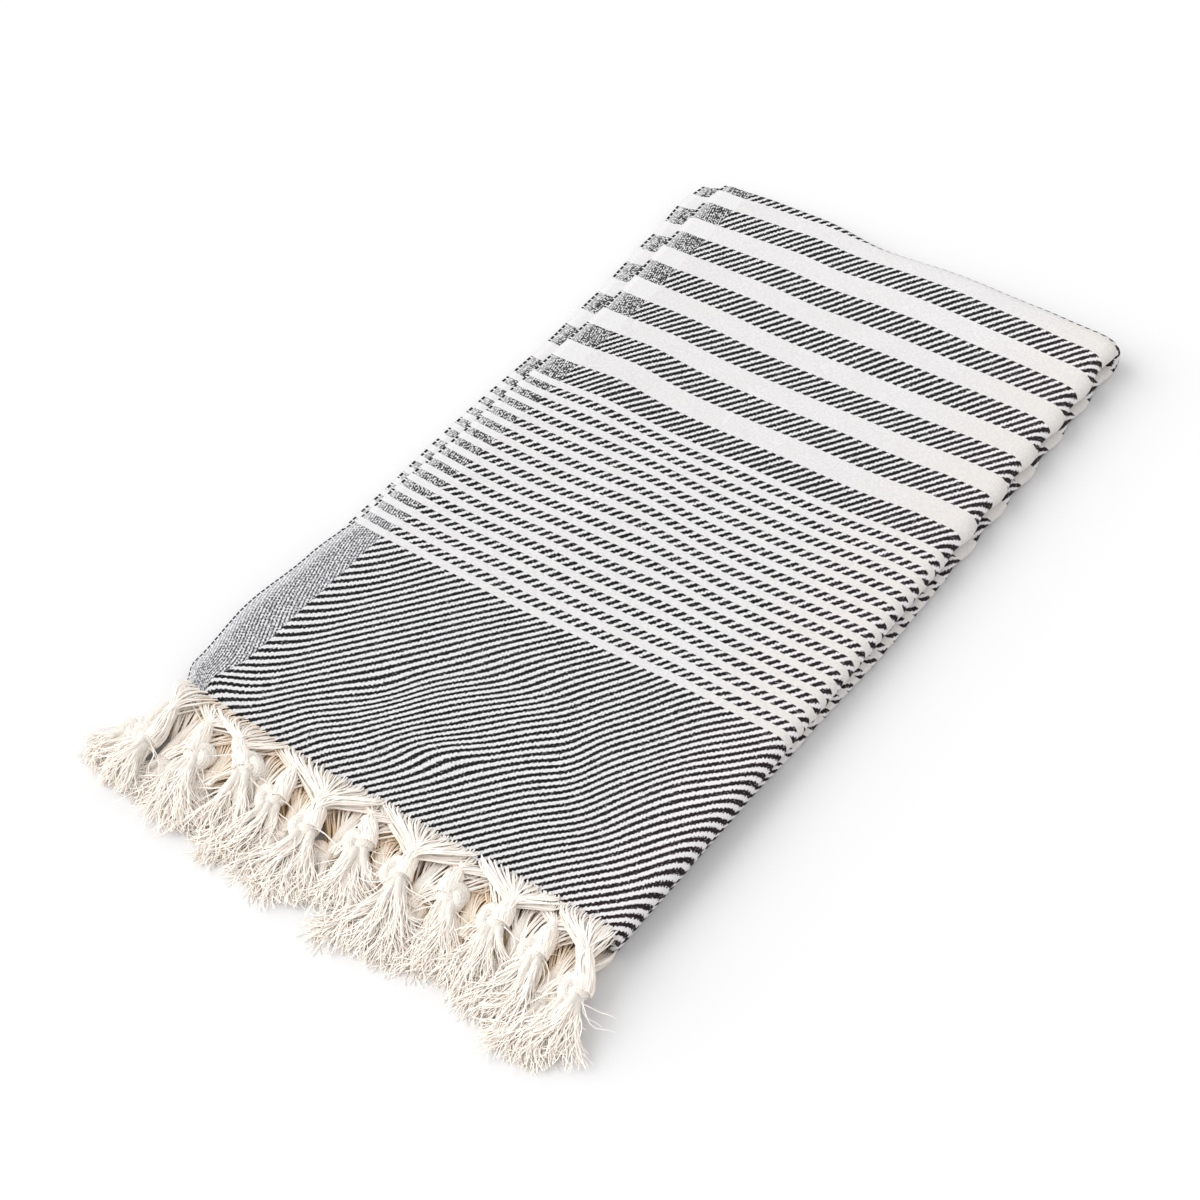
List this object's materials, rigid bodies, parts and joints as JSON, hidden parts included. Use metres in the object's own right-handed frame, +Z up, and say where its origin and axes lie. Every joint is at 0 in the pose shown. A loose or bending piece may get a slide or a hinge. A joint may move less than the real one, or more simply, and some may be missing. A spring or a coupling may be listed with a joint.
{
  "type": "hammam towel",
  "caption": "Folded striped cotton towel with plain selvedges and a knotted fringe at both ends, lying flat with its fringed ends together.",
  "frame": {"origin": "under the middle of the folded cloth, on the surface that it rests on", "axes": "+X across the folded width from the selvedges to the side rolls, +Y from the fringed ends to the far fold, +Z up"},
  "size_m": [0.2865, 0.5543, 0.0211],
  "materials": {
    "striped_cotton": "matt woven cotton, black and white stripes and twill",
    "cream_warp": "matt undyed cotton yarn"
  },
  "bodies": {
    "root": {"cloth": "striped_cotton", "tassel_top_1": "cream_warp", "tassel_top_2": "cream_warp", "tassel_top_3": "cream_warp", "tassel_top_4": "cream_warp", "tassel_top_5": "cream_warp", "tassel_top_6": "cream_warp", "tassel_second_1": "cream_warp", "tassel_second_2": "cream_warp", "tassel_second_3": "cream_warp", "tassel_second_4": "cream_warp", "tassel_second_5": "cream_warp", "tassel_third_1": "cream_warp", "tassel_third_2": "cream_warp", "tassel_third_3": "cream_warp", "tassel_third_4": "cream_warp", "tassel_third_5": "cream_warp", "tassel_bottom_1": "cream_warp", "tassel_bottom_2": "cream_warp", "tassel_bottom_3": "cream_warp", "tassel_bottom_4": "cream_warp", "tassel_bottom_5": "cream_warp", "tassel_bottom_6": "cream_warp"}
  },
  "joints": []
}
